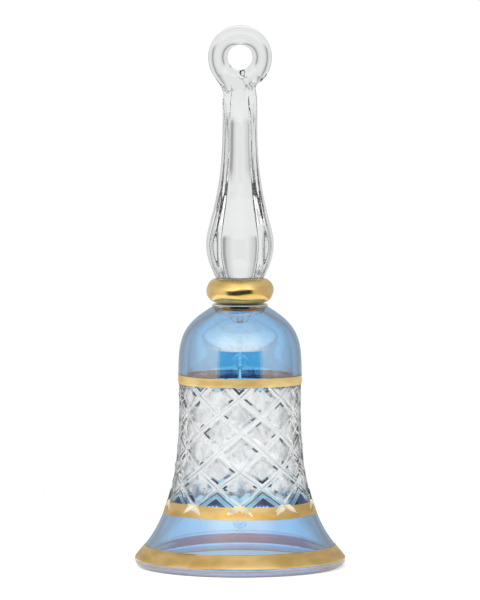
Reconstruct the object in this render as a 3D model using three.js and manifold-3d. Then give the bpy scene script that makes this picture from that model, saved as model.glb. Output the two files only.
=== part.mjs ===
// A small mouth-blown glass bell: a flared blue glass body with a rolled lip and a cut waist, a gilt
// glass collar on its neck, a fluted clear glass handle with a hanging loop on top, and a clapper
// hung inside the dome on an eye of glass thread and one chain link.
//
// Millimetres, +Z up. The bell stands on its mouth at z = 0 with its axis on the Z axis. The
// hanging loop's hole runs along Y.

import * as THREE from "three";
import { mergeVertices } from "three/addons/utils/BufferGeometryUtils.js";
import Module from "manifold-3d";

const wasm = await Module();
wasm.setup();

// ---- Driving dimensions ------------------------------------------------------------------------

const SEAT_GAP = 0.3;              // between two pieces that are fused or cemented together

// Bell body
const MOUTH_RADIUS = 26.5;         // the widest point of the lip
const LIP_ROLL_RADIUS = 1.75;      // the rolled edge of the mouth
const LIP_FLAT_WIDTH = 1.0;        // the ground ring that the bell stands on
const FLARE_LEAVES_LIP_DEG = 40;   // where the flare leaves the rolled edge, from level
const FLARE_PULL_LOW = 6.0;        // how far the flare keeps its first direction
const FLARE_PULL_HIGH = 26.0;      // how long the waist keeps the flare upright
const WAIST_RADIUS = 15.5;
const WAIST_HEIGHT = 40.0;         // the flare has become upright here
const DOME_START_HEIGHT = 46.0;
const DOME_PULL_LOW = 10.0;        // how far the dome keeps the waist's direction
const DOME_PULL_HIGH = 10.0;       // how far it keeps its slope under the neck
const DOME_END_SLOPE_DEG = 30;     // the dome's slope, from level, where it meets the neck
const NECK_HEIGHT = 65.1;
const NECK_RADIUS = 7.0;
const NECK_RISE = 0.7;             // the short upright neck under the collar
const STUB_RADIUS = 4.0;           // the glass stub that the collar sits around
const WALL = 2.0;
const CEILING_RISE = 0.6;          // how much the inside of the dome still rises to its middle

// Collar
const COLLAR_RADIUS = 8.5;
const COLLAR_HEIGHT = 6.2;

// Handle
const HANDLE_FOOT_RADIUS = 6.4;
const BULB_RADIUS = 8.9;
const BULB_RISE = 8.2;             // the widest point, above the handle's foot
const SHAFT_RADIUS = 4.6;
const SHAFT_RISE = 38.0;           // the handle has become an even shaft here, above its foot
const HANDLE_LENGTH = 45.4;
const FLUTES = 6;
const FLUTE_DEPTH = 1.2;           // at the widest point

// Hanging loop
const LOOP_ROD_RADIUS = 2.4;
const LOOP_HOLE_RADIUS = 3.15;
const LOOP_RISE = 9.1;             // the hole's centre above the loop's foot

// Hanger and clapper
const BOSS_RADIUS = 3.0;
const BOSS_DEPTH = 2.8;
const THREAD_RADIUS = 0.45;
const EYE_RADIUS = 1.6;            // to the middle of the glass thread
const EYE_DROP = 0.5;              // from the boss down to the top of the eye
const LINK_PITCH = 5.0;            // from the thread it hangs on to the thread that hangs in it
const HINGE_PLAY = 0.4;            // between two threads that hang in each other
const BEAD_RADIUS = 1.8;
const BEAD_HEIGHT = 3.4;
const BEAD_TIP_HEIGHT = 8.6;       // the bead's lowest point above the mouth
const BEAD_BORE_PLAY = 0.3;
const STEM_HEAD_RADIUS = 0.95;     // the thread's melted end, which holds the bead on
const STEM_HEAD_THICKNESS = 0.6;

// ---- Levels worked out from them ---------------------------------------------------------------

const collarFoot = NECK_HEIGHT + NECK_RISE + SEAT_GAP;
const collarTop = collarFoot + COLLAR_HEIGHT;
const handleFoot = collarTop + SEAT_GAP;
const loopFoot = handleFoot + HANDLE_LENGTH + SEAT_GAP;
const loopCentre = loopFoot + LOOP_RISE;
const threadReach = 2 * THREAD_RADIUS + HINGE_PLAY;   // from one hinged thread's middle to the other's

const deg = Math.PI / 180;
const at = (radius, height) => new THREE.Vector2(radius, height);

// ---- Materials ---------------------------------------------------------------------------------

function material(color, roughness, metalness, opacity = 1) {
  return new THREE.MeshStandardMaterial({
    color, roughness, metalness, opacity, transparent: opacity < 1,
  });
}

const blueGlass = material(0x9fcfe6, 0.05, 0, 0.6);
const clearGlass = material(0xeef3f6, 0.04, 0, 0.5);
const gilding = material(0xd9b36c, 0.28, 1);
const beadGlass = material(0x3fb4d2, 0.06, 0, 0.8);

// ---- Geometry helpers --------------------------------------------------------------------------

// Turns an outline of (radius, height) points about the Z axis.
function turned(outline, segments) {
  return new THREE.LatheGeometry(outline, segments).rotateX(Math.PI / 2);
}

// A closed geometry as a solid that can be joined to another.
function solid(geometry) {
  const bare = geometry.clone();
  bare.deleteAttribute("normal");
  bare.deleteAttribute("uv");
  const merged = mergeVertices(bare);
  const corners = merged.index.array;
  const triangles = [];
  for (let i = 0; i < corners.length; i += 3) {
    const [a, b, c] = corners.slice(i, i + 3);
    if (a !== b && b !== c && c !== a) triangles.push(a, b, c);
  }
  return new wasm.Manifold(new wasm.Mesh({
    numProp: 3,
    vertProperties: merged.attributes.position.array,
    triVerts: new Uint32Array(triangles),
  }));
}

function joined(...geometries) {
  const mesh = geometries.map(solid).reduce((whole, piece) => whole.add(piece)).getMesh();
  const geometry = new THREE.BufferGeometry();
  geometry.setAttribute("position", new THREE.Float32BufferAttribute(mesh.vertProperties, 3));
  geometry.setIndex(Array.from(mesh.triVerts));
  geometry.computeVertexNormals();
  return geometry;
}

// Closes a stack of rings, each a list of the same number of points, into a capped skin.
function skinned(rings) {
  const around = rings[0].length;
  const points = rings.flat();
  const index = [];
  for (let ring = 0; ring + 1 < rings.length; ring += 1) {
    for (let i = 0; i < around; i += 1) {
      const a = ring * around + i;
      const b = ring * around + (i + 1) % around;
      index.push(a, b, b + around, a, b + around, a + around);
    }
  }
  const lowMiddle = points.length;
  const highMiddle = lowMiddle + 1;
  const top = (rings.length - 1) * around;
  points.push(new THREE.Vector3(0, 0, rings[0][0].z), new THREE.Vector3(0, 0, rings.at(-1)[0].z));
  for (let i = 0; i < around; i += 1) {
    const next = (i + 1) % around;
    index.push(lowMiddle, next, i, highMiddle, top + i, top + next);
  }
  const geometry = new THREE.BufferGeometry().setFromPoints(points);
  geometry.setIndex(index);
  geometry.computeVertexNormals();
  return geometry;
}

function rod(radius, low, high, sides = 12) {
  const geometry = new THREE.CylinderGeometry(radius, radius, high - low, sides);
  return geometry.rotateX(Math.PI / 2).translate(0, 0, (low + high) / 2);
}

// A ring of glass thread standing in the XZ plane, with its middle on the axis.
function threadEye(middle) {
  const ring = new THREE.TorusGeometry(EYE_RADIUS, THREAD_RADIUS, 10, 20);
  return ring.rotateX(Math.PI / 2).translate(0, 0, middle);
}

// ---- Bell body ---------------------------------------------------------------------------------

const lipMiddle = at(MOUTH_RADIUS - LIP_ROLL_RADIUS, LIP_ROLL_RADIUS);

function lipPoint(angleDeg) {
  const angle = angleDeg * deg;
  return at(
    lipMiddle.x + LIP_ROLL_RADIUS * Math.cos(angle),
    lipMiddle.y + LIP_ROLL_RADIUS * Math.sin(angle),
  );
}

// The outside of the flare, from the rolled lip up to the waist.
function flareCurve() {
  const start = lipPoint(FLARE_LEAVES_LIP_DEG);
  const lean = FLARE_LEAVES_LIP_DEG * deg;
  return new THREE.CubicBezierCurve(
    start,
    at(start.x - FLARE_PULL_LOW * Math.sin(lean), start.y + FLARE_PULL_LOW * Math.cos(lean)),
    at(WAIST_RADIUS, WAIST_HEIGHT - FLARE_PULL_HIGH),
    at(WAIST_RADIUS, WAIST_HEIGHT),
  );
}

// The outside of the dome, from the upright waist to the neck.
function domeCurve() {
  const slope = DOME_END_SLOPE_DEG * deg;
  return new THREE.CubicBezierCurve(
    at(WAIST_RADIUS, DOME_START_HEIGHT),
    at(WAIST_RADIUS, DOME_START_HEIGHT + DOME_PULL_LOW),
    at(NECK_RADIUS + DOME_PULL_HIGH * Math.cos(slope), NECK_HEIGHT - DOME_PULL_HIGH * Math.sin(slope)),
    at(NECK_RADIUS, NECK_HEIGHT),
  );
}

// Points one wall thickness inside a curve that runs upwards.
function insideOf(curve, from, count) {
  const points = [];
  for (let i = 0; i <= count; i += 1) {
    const t = from + (1 - from) * i / count;
    const point = curve.getPoint(t);
    const along = curve.getTangent(t);
    points.push(at(point.x - along.y * WALL, point.y + along.x * WALL));
  }
  return points;
}

const ceilingEdge = insideOf(domeCurve(), 0, 1).at(-1);

function ceilingHeight(radius) {
  return ceilingEdge.y + CEILING_RISE * (1 - radius / ceilingEdge.x);
}

function bellBodyOutline() {
  const flareStep = 0.1;           // the inner wall leaves the lip this far along the flare
  const domeInside = insideOf(domeCurve(), 0, 7).reverse();
  const flareInside = insideOf(flareCurve(), flareStep, 8).reverse();
  const flatHalf = LIP_FLAT_WIDTH / 2;
  const lip = [180, 215, 245].map(lipPoint);
  lip.push(at(lipMiddle.x - flatHalf, 0), at(lipMiddle.x + flatHalf, 0));
  lip.push(...[-65, -40, -20, 0, 22].map(lipPoint));
  const neckTop = NECK_HEIGHT + NECK_RISE;
  return [
    at(0, ceilingHeight(0)), ...domeInside, ...flareInside, ...lip,
    ...flareCurve().getPoints(10), ...domeCurve().getPoints(9),
    at(NECK_RADIUS, neckTop), at(STUB_RADIUS, neckTop), at(STUB_RADIUS, collarTop), at(0, collarTop),
  ];
}

// ---- Collar ------------------------------------------------------------------------------------

// A doughnut of gilt glass around the stub.
function collarOutline() {
  const bore = STUB_RADIUS + SEAT_GAP;
  const half = COLLAR_HEIGHT / 2;
  const crownRadius = COLLAR_RADIUS - half;
  const outline = [at(bore, collarFoot)];
  for (let angle = -90; angle <= 90; angle += 15) {
    outline.push(at(
      crownRadius + half * Math.cos(angle * deg),
      collarFoot + half + half * Math.sin(angle * deg),
    ));
  }
  outline.push(at(bore, collarTop), at(bore, collarFoot));
  return outline;
}

// ---- Handle ------------------------------------------------------------------------------------

// A fluted handle: petals swell from the foot to the bulb and fade along the shaft.
function handleGeometry() {
  const bulb = at(BULB_RADIUS, BULB_RISE);
  const foot = at(HANDLE_FOOT_RADIUS, 0);
  const swelling = new THREE.CubicBezierCurve(
    foot, at(HANDLE_FOOT_RADIUS + 0.8, 0.2 * BULB_RISE), at(BULB_RADIUS, 0.55 * BULB_RISE), bulb,
  );
  const tapering = new THREE.CubicBezierCurve(
    bulb, at(BULB_RADIUS, BULB_RISE + 0.16 * (SHAFT_RISE - BULB_RISE)),
    at(SHAFT_RADIUS, BULB_RISE + 0.36 * (SHAFT_RISE - BULB_RISE)), at(SHAFT_RADIUS, SHAFT_RISE),
  );
  const outline = [...swelling.getPoints(5), ...tapering.getPoints(8).slice(1)];
  outline.push(at(SHAFT_RADIUS, HANDLE_LENGTH));
  const pointsPerFlute = 6;
  const around = FLUTES * pointsPerFlute;
  const rings = outline.map(({ x: radius, y: rise }) => {
    const depth = FLUTE_DEPTH * (radius / BULB_RADIUS) ** 2;
    const ring = [];
    for (let i = 0; i < around; i += 1) {
      const angle = 2 * Math.PI * i / around;
      const petal = 1 - Math.abs(Math.cos(FLUTES * angle / 2));
      const reach = radius - depth * petal;
      ring.push(new THREE.Vector3(
        reach * Math.cos(angle), reach * Math.sin(angle), handleFoot + rise,
      ));
    }
    return ring;
  });
  return skinned(rings);
}

// ---- Hanging loop ------------------------------------------------------------------------------

// A rod bent round into a ring, on the foot where it was fused to the shaft.
function loopGeometry() {
  const bend = LOOP_HOLE_RADIUS + LOOP_ROD_RADIUS;
  const ring = new THREE.TorusGeometry(bend, LOOP_ROD_RADIUS, 12, 28);
  ring.rotateX(Math.PI / 2).translate(0, 0, loopCentre);
  const ringLow = loopCentre - bend;
  const foot = turned([
    at(0, loopFoot), at(SHAFT_RADIUS, loopFoot), at(SHAFT_RADIUS, loopFoot + 0.55 * (ringLow - loopFoot)),
    at(0.9 * SHAFT_RADIUS, ringLow - 0.12 * LOOP_ROD_RADIUS),
    at(0.9 * LOOP_ROD_RADIUS, ringLow + 0.25 * LOOP_ROD_RADIUS),
    at(0, ringLow + 0.3 * LOOP_ROD_RADIUS),
  ], 24);
  return joined(ring, foot);
}

// ---- Hanger and clapper ------------------------------------------------------------------------

const bossBore = THREAD_RADIUS + SEAT_GAP;
const bossTop = ceilingHeight(bossBore) - SEAT_GAP;
const bossFoot = bossTop - BOSS_DEPTH;
const eyeMiddle = bossFoot - EYE_DROP - THREAD_RADIUS - EYE_RADIUS;
const linkPivot = eyeMiddle - EYE_RADIUS;         // the link swings about the eye's lowest thread
const stemPivot = linkPivot - LINK_PITCH;         // the stem swings about the link's lowest thread
const stemEyeMiddle = stemPivot + threadReach - EYE_RADIUS;

// A glass boss under the dome's ceiling, with a bore for the hanger's shank.
function bossOutline() {
  const edge = 0.35 * BOSS_DEPTH;
  return [
    at(bossBore, bossFoot), at(BOSS_RADIUS - edge, bossFoot), at(BOSS_RADIUS, bossFoot + edge),
    at(BOSS_RADIUS, ceilingHeight(BOSS_RADIUS) - SEAT_GAP), at(bossBore, bossTop),
    at(bossBore, bossFoot),
  ];
}

function hangerGeometry() {
  return joined(threadEye(eyeMiddle), rod(THREAD_RADIUS, eyeMiddle + EYE_RADIUS, bossTop));
}

// A chain link in the YZ plane: two half circles of glass thread joined by straight sides.
function linkGeometry() {
  const bends = [
    { middle: linkPivot, from: 0 },
    { middle: stemPivot + threadReach, from: Math.PI },
  ];
  const bendSteps = 8;
  const sides = 10;
  const points = [];
  for (const { middle, from } of bends) {
    for (let step = 0; step <= bendSteps; step += 1) {
      const bend = from + Math.PI * step / bendSteps;
      for (let side = 0; side < sides; side += 1) {
        const turn = 2 * Math.PI * side / sides;
        const reach = threadReach + THREAD_RADIUS * Math.cos(turn);
        points.push(new THREE.Vector3(
          THREAD_RADIUS * Math.sin(turn), reach * Math.cos(bend), middle + reach * Math.sin(bend),
        ));
      }
    }
  }
  const rings = points.length / sides;
  const index = [];
  for (let ring = 0; ring < rings; ring += 1) {
    const next = (ring + 1) % rings;
    for (let side = 0; side < sides; side += 1) {
      const a = ring * sides + side;
      const b = ring * sides + (side + 1) % sides;
      const c = next * sides + (side + 1) % sides;
      const d = next * sides + side;
      index.push(a, c, b, a, d, c);
    }
  }
  const geometry = new THREE.BufferGeometry().setFromPoints(points);
  geometry.setIndex(index);
  geometry.computeVertexNormals();
  return geometry;
}

const headTop = BEAD_TIP_HEIGHT;
const headFoot = headTop - STEM_HEAD_THICKNESS;

function stemGeometry() {
  return joined(
    threadEye(stemEyeMiddle),
    rod(THREAD_RADIUS, headFoot, stemEyeMiddle - EYE_RADIUS),
    rod(STEM_HEAD_RADIUS, headFoot, headTop),
  );
}

// A drop of glass, widest below its middle, with a bore for the stem.
function beadOutline() {
  const bore = THREAD_RADIUS + BEAD_BORE_PLAY;
  const foot = BEAD_TIP_HEIGHT + SEAT_GAP;
  const belly = foot + 0.42 * BEAD_HEIGHT;
  const top = foot + BEAD_HEIGHT;
  const collar = bore + 0.5;
  const under = new THREE.CubicBezierCurve(
    at(collar, foot), at(BEAD_RADIUS * 0.75, foot + 0.02 * BEAD_HEIGHT),
    at(BEAD_RADIUS, foot + 0.2 * BEAD_HEIGHT), at(BEAD_RADIUS, belly),
  );
  const over = new THREE.CubicBezierCurve(
    at(BEAD_RADIUS, belly), at(BEAD_RADIUS, belly + 0.28 * BEAD_HEIGHT),
    at(collar + 0.5, top - 0.2 * BEAD_HEIGHT), at(collar, top),
  );
  return [
    at(bore, foot), ...under.getPoints(5), ...over.getPoints(6).slice(1), at(bore, top), at(bore, foot),
  ];
}

// ---- Assembly ----------------------------------------------------------------------------------

const group = new THREE.Group();

function add(name, geometry, look) {
  const mesh = new THREE.Mesh(geometry, look);
  mesh.name = name;
  group.add(mesh);
}

add("bell_body", turned(bellBodyOutline(), 48), blueGlass);
add("neck_collar", turned(collarOutline(), 32), gilding);
add("fluted_handle", handleGeometry(), clearGlass);
add("hanging_loop", loopGeometry(), clearGlass);
add("hanger_boss", turned(bossOutline(), 24), clearGlass);
add("clapper_hanger", hangerGeometry(), clearGlass);
add("clapper_link", linkGeometry(), clearGlass);
add("clapper_stem", stemGeometry(), clearGlass);
add("clapper_bead", turned(beadOutline(), 20), beadGlass);

export default group;
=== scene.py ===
"""The look of a small blown, cut and gilt glass bell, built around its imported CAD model.

Lengths are in millimetres in this script, up to the point where a mesh is made, and the meshes are
in metres. The bell stands on its mouth at z = 0 and its axis is the Z axis. The front is towards -Y.
"""

import math
import random

import bmesh
import bpy
import numpy as np
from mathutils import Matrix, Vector

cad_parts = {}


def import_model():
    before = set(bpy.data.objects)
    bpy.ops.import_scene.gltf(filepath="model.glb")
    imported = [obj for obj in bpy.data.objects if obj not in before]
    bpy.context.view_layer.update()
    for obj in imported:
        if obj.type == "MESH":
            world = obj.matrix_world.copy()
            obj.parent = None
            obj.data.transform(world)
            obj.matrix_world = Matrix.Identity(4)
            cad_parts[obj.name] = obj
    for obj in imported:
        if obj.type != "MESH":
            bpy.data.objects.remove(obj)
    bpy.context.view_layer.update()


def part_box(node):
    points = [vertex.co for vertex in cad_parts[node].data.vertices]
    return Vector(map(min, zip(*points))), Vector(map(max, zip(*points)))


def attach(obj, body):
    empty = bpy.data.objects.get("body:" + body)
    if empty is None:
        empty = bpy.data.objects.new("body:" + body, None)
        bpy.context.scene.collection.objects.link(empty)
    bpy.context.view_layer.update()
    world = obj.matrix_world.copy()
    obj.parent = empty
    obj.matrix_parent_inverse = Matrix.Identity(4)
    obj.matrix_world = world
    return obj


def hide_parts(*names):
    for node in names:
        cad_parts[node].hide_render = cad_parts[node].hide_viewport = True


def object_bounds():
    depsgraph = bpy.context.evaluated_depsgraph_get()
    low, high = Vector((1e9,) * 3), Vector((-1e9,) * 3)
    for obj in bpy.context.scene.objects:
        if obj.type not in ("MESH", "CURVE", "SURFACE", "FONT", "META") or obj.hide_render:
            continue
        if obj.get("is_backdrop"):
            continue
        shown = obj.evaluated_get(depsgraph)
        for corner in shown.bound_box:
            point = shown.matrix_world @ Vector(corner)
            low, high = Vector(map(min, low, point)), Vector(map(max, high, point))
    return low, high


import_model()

MM = 0.001
FRONT = -math.pi / 2                 # the azimuth of the side that faces the camera

# ---- Sizes -------------------------------------------------------------------------------------


def box_mm(node):
    low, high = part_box(node)
    return low / MM, high / MM


_, body_high = box_mm("bell_body")
collar_low, collar_high = box_mm("neck_collar")
handle_low, _ = box_mm("fluted_handle")
loop_low, loop_high = box_mm("hanging_loop")

MOUTH_RADIUS = body_high.x
COAT = 0.06                          # room outside the glass for the gold, up to the CAD size
SEAT_GAP = 0.3                       # between pieces that are fused on the real bell
LIP_ROLL_RADIUS = 1.75
LIP_FLAT_HALF = 0.5
LIP_INNER_TOP = 4.4                  # where the lip's roll meets the inner and the outer side
LIP_OUTER_TOP = 3.2
FLARE_LEAVES_LIP = math.radians(40)
FLARE_PULL_LOW = 6.0
FLARE_PULL_HIGH = 26.0
WAIST_RADIUS = 15.5
WAIST_HEIGHT = 40.0
DOME_START = 46.0
DOME_PULL_LOW = 10.0
DOME_PULL_HIGH = 10.0
DOME_END_SLOPE = math.radians(30)
NECK_HEIGHT = 65.1
NECK_RADIUS = 7.0
STUB_RADIUS = 4.0
WALL = 2.0
RIM_REST = 0.02                      # the height of the ground flat under the lip
CEILING_RISE = 0.5

RIM_BAND = (2.1, 5.4)
LOWER_BAND = (13.4, 16.5)
UPPER_BAND = (45.9, 48.1)

# The cut lattice: grooves run both ways round the waist and cross on these levels.
DIAMONDS = 9
LATTICE_LEVELS = (12.0, 16.9, 21.5, 25.6, 30.3, 34.8, 39.0, 43.4, 48.3)
LOWEST_ROW = -1                      # the row number of the first level
CUT_ROWS = (1, 7)                    # the rows whose diamonds are ground clear
GROOVE_DEPTH = 0.34
GROOVE_HALF = 0.105                  # half the groove's width, as a share of a diamond's side
GROOVE_ERROR = 0.07                  # how far a groove strays, as a share of a diamond's side
GROOVE_DEPTHS = (0.8, 1.1)           # the shallowest and deepest groove, as shares of the depth
OVERRUN_LOW = 2.2                    # how far the grooves run on into the lower band
OVERRUN_HIGH = 0.7                   # and into the upper one
RUN_OUT_LOW = 1.4                    # the height over which a groove loses its depth
RUN_OUT_HIGH = 1.0
PAD_EDGE = 0.22                      # where a diamond's inner facet starts, as a share of its side
PAD_DEPTH = 0.5
PAD_LEAST_DEPTH = 0.02
PAD_RUN_OUT = 0.8
LEDGE_DEPTH = 0.22                   # of the glass that is ground away along the grooves
FACET_TILT = 0.07
HALF_STEPS = (0.0, 0.035, 0.07, GROOVE_HALF, 0.14, 0.175, PAD_EDGE, 0.28, 0.35, 0.42, 0.5)
STEPS = HALF_STEPS + tuple(1 - s for s in reversed(HALF_STEPS[1:-1]))
CELL = len(STEPS)                    # mesh steps along a diamond's side
AROUND = DIAMONDS * CELL             # mesh columns round the bell
GROOVE_SEEN = 0.03                   # a mesh face is part of a groove from this depth on
BEVEL_STEPS = 5                      # the width of a bevel, in mesh steps
DARK_STEPS = (6, 7, 8)               # the lengths of a bevel's painted dark reflection
GREY_SHARE = 0.45                    # share of the bevels that are painted grey as shade
DARK_SHARE = 0.5
OUTLINE_STEPS = 4                    # the painted dark outline of the lowest triangles, in mesh steps
NAVY_STEPS = 7                       # from their grooves to their deep blue inside, which is painted shade
JOIN_GAP = 0.25                      # from the lattice to the plain rings below and above it

rng = random.Random(7)

# ---- Mesh helpers ------------------------------------------------------------------------------


def in_scene(name, mesh):
    piece = bpy.data.objects.new(name, mesh)
    bpy.context.scene.collection.objects.link(piece)
    return piece


def from_bmesh(name, shape):
    mesh = bpy.data.meshes.new(name)
    shape.to_mesh(mesh)
    shape.free()
    return in_scene(name, mesh)


def mesh_object(name, points_mm, faces, materials, slots=None):
    mesh = bpy.data.meshes.new(name)
    mesh.from_pydata([tuple(p) for p in np.asarray(points_mm, float) * MM], [], faces)
    for look in materials:
        mesh.materials.append(look)
    if slots is not None:
        mesh.polygons.foreach_set("material_index", np.asarray(slots, np.int32))
    mesh.polygons.foreach_set("use_smooth", [True] * len(mesh.polygons))
    mesh.update()
    return in_scene(name, mesh)


def cubic(p0, p1, p2, p3, count):
    t = np.linspace(0, 1, count)[:, None]
    p0, p1, p2, p3 = (np.array(p, float) for p in (p0, p1, p2, p3))
    return (1 - t) ** 3 * p0 + 3 * (1 - t) ** 2 * t * p1 + 3 * (1 - t) * t * t * p2 + t ** 3 * p3


def smoothstep(low, high, x):
    t = np.clip((np.asarray(x, float) - low) / (high - low), 0, 1)
    return t * t * (3 - 2 * t)


def between_heights(side, low, high, count):
    """The stretch of a (radius, height) curve between two heights, in evenly spaced points."""
    heights = side[:, 1]
    return resampled(side[(heights > low) & (heights <= high)], count)


def inside_of(curve, distance):
    """A (radius, height) curve that runs upwards, moved towards the axis by a distance."""
    along = np.gradient(curve, axis=0)
    along /= np.linalg.norm(along, axis=1)[:, None]
    return curve + distance * np.stack([-along[:, 1], along[:, 0]], axis=1)


def resampled(curve, count):
    steps = np.linalg.norm(np.diff(curve, axis=0), axis=1)
    length = np.concatenate([[0], np.cumsum(steps)])
    at = np.linspace(0, length[-1], count)
    return np.stack([np.interp(at, length, curve[:, i]) for i in (0, 1)], axis=1)


def turned(name, outline, around, materials, closed=False, lumps=None):
    """A body of revolution. The outline runs from axis to axis, or closes on itself."""
    angles = np.linspace(0, 2 * math.pi, around, endpoint=False)
    points, faces, rings = [], [], []
    for radius, height in outline:
        if radius < 1e-6:
            rings.append([len(points)] * around)
            points.append((0, 0, height))
            continue
        rings.append(list(range(len(points), len(points) + around)))
        for angle in angles:
            reach = radius + (lumps(angle, height) if lumps else 0)
            points.append((reach * math.cos(angle), reach * math.sin(angle), height))
    pairs = list(zip(rings, rings[1:]))
    if closed:
        pairs.append((rings[-1], rings[0]))
    for low, high in pairs:
        for k in range(around):
            nxt = (k + 1) % around
            corners = [low[k], low[nxt], high[nxt], high[k]]
            face = [c for i, c in enumerate(corners) if c not in corners[:i]]
            if len(face) > 2:
                faces.append(face)
    return mesh_object(name, points, faces, materials)


# ---- Node helpers ------------------------------------------------------------------------------


class Nodes:
    """Short calls for building a node tree."""

    def __init__(self, tree):
        self.tree = tree

    def add(self, kind, links=None, **values):
        node = self.tree.nodes.new(kind)
        for key, value in values.items():
            setattr(node, key, value)
        for socket, value in (links or {}).items():
            if isinstance(value, bpy.types.NodeSocket):
                self.tree.links.new(value, node.inputs[socket])
            else:
                node.inputs[socket].default_value = value
        return node

    def maths(self, operation, *values):
        return self.add("ShaderNodeMath", dict(enumerate(values)), operation=operation).outputs[0]

    def between(self, x, low, high):
        """0 below low, 1 above high, smooth in between. Swapped limits turn it round."""
        node = self.add("ShaderNodeMapRange", {"Value": x}, interpolation_type="SMOOTHSTEP")
        rising = low < high
        node.inputs["From Min"].default_value = min(low, high)
        node.inputs["From Max"].default_value = max(low, high)
        node.inputs["To Min"].default_value = 0.0 if rising else 1.0
        node.inputs["To Max"].default_value = 1.0 if rising else 0.0
        return node.outputs["Result"]

    def noise(self, scale, stretch=(1, 1, 1), detail=2.0):
        place = self.add("ShaderNodeTexCoord").outputs["Object"]
        mapped = self.add("ShaderNodeMapping", {"Vector": place, "Scale": stretch})
        noise = self.add(
            "ShaderNodeTexNoise", {"Vector": mapped.outputs[0], "Scale": scale, "Detail": detail}
        )
        return noise.outputs["Fac"]

    def ramp(self, factor, stops):
        node = self.add("ShaderNodeValToRGB", {"Fac": factor})
        elements = node.color_ramp.elements
        while len(elements) < len(stops):
            elements.new(0.5)
        for element, (place, colour) in zip(elements, stops):
            element.position = place
            element.color = (*colour, 1)
        return node.outputs["Color"]


def material(name):
    look = bpy.data.materials.new(name)
    look.use_nodes = True
    look.node_tree.nodes.clear()
    nodes = Nodes(look.node_tree)
    shader = nodes.add("ShaderNodeBsdfPrincipled")
    out = nodes.add("ShaderNodeOutputMaterial")
    look.node_tree.links.new(shader.outputs[0], out.inputs["Surface"])
    return look, nodes, shader


def set_values(shader, **values):
    for key, value in values.items():
        shader.inputs[key.replace("_", " ")].default_value = value


def link(nodes, source, shader, socket):
    nodes.tree.links.new(source, shader.inputs[socket])


# ---- Materials ---------------------------------------------------------------------------------


def blue_glass():
    """Blue stain under a thin warm lustre film: it tints what is seen through it and mirrors
    strongly."""
    look, nodes, shader = material("blue_lustre_glass")
    # Darker towards the outline: partly the longer way through the stain, partly painted shade.
    facing = nodes.add("ShaderNodeLayerWeight", {"Blend": 0.5}).outputs["Facing"]
    streaks = nodes.maths("SUBTRACT", nodes.noise(60, (1, 1, 0.35), 3), 0.5)
    place = nodes.maths("ADD", facing, nodes.maths("MULTIPLY", streaks, 0.4))
    stops = [
        (0.02, (0.13, 0.59, 0.93)), (0.18, (0.095, 0.45, 0.78)), (0.5, (0.05, 0.31, 0.60)),
        (0.9, (0.01, 0.11, 0.27)),
    ]
    link(nodes, nodes.ramp(place, stops), shader, "Base Color")
    film = nodes.noise(45, (1, 1, 0.6), 2)
    spread = nodes.add("ShaderNodeMapRange", {"Value": film, "To Min": 84.0, "To Max": 100.0})
    link(nodes, spread.outputs["Result"], shader, "Thin Film Thickness")
    set_values(shader, Roughness=0.02, IOR=1.5, Transmission_Weight=1.0, Thin_Film_IOR=2.3)
    return look


def clear_glass(name, stops, ior=1.5):
    """Glass that gets greyer towards its outline. The grey is partly the longer way through the glass
    and partly painted shade, for the darker surroundings seen through its edges.
    """
    look, nodes, shader = material(name)
    facing = nodes.add("ShaderNodeLayerWeight", {"Blend": 0.5}).outputs["Facing"]
    wisps = nodes.maths("MULTIPLY", nodes.maths("SUBTRACT", nodes.noise(90, (1, 1, 0.25)), 0.5), 0.3)
    place = nodes.maths("ADD", facing, wisps)
    link(nodes, nodes.ramp(place, stops), shader, "Base Color")
    set_values(shader, Roughness=0.0, IOR=ior, Transmission_Weight=1.0)
    return look, shader


def ground_glass(name, low, high, roughness, bump):
    """Glass that a cutting wheel has left slightly wavy and matt."""
    look, nodes, shader = material(name)
    cloud = nodes.noise(420, (1, 1, 1), 3)
    link(nodes, nodes.ramp(cloud, [(0.35, low), (0.65, high)]), shader, "Base Color")
    relief = nodes.add("ShaderNodeBump", {"Height": cloud, "Strength": bump, "Distance": 0.0003})
    link(nodes, relief.outputs["Normal"], shader, "Normal")
    set_values(shader, Roughness=roughness, IOR=1.5, Transmission_Weight=1.0)
    return look


def gold_lustre(name, deep, pale, smoothest, roughest):
    look, nodes, shader = material(name)
    brushed = nodes.noise(140, (1, 1, 2.5), 4)
    link(nodes, nodes.ramp(brushed, [(0.35, deep), (0.6, pale)]), shader, "Base Color")
    rough = nodes.noise(300, (1, 1, 1), 3)
    spread = nodes.add("ShaderNodeMapRange", {"Value": rough, "To Min": smoothest, "To Max": roughest})
    link(nodes, spread.outputs["Result"], shader, "Roughness")
    set_values(shader, Metallic=1.0)
    return look


def lustre_underside(name, low, high):
    """What the gold looks like from behind, through the glass it was fired on."""
    look, nodes, shader = material(name)
    cloud = nodes.noise(120, (1, 1, 1), 3)
    link(nodes, nodes.ramp(cloud, [(0.3, low), (0.7, high)]), shader, "Base Color")
    set_values(shader, Metallic=1.0, Roughness=0.4)
    return look


def fused_joint():
    """The milky glass of a fused joint."""
    look, nodes, shader = material("fused_joint")
    cloud = nodes.noise(300, (1, 1, 1), 2)
    stops = [(0.3, (0.55, 0.68, 0.78)), (0.7, (0.75, 0.85, 0.92))]
    link(nodes, nodes.ramp(cloud, stops), shader, "Base Color")
    set_values(shader, Roughness=0.3, IOR=1.5)
    return look


def floor_white():
    look, nodes, shader = material("floor_white")
    grain = nodes.noise(40, (1, 1, 1), 2)
    stops = [(0.3, (0.8, 0.8, 0.8)), (0.7, (0.82, 0.82, 0.82))]
    link(nodes, nodes.ramp(grain, stops), shader, "Base Color")
    set_values(shader, Roughness=0.9, Emission_Strength=0.5)
    shader.inputs["Emission Color"].default_value = (1, 1, 1, 1)
    return look


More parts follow.
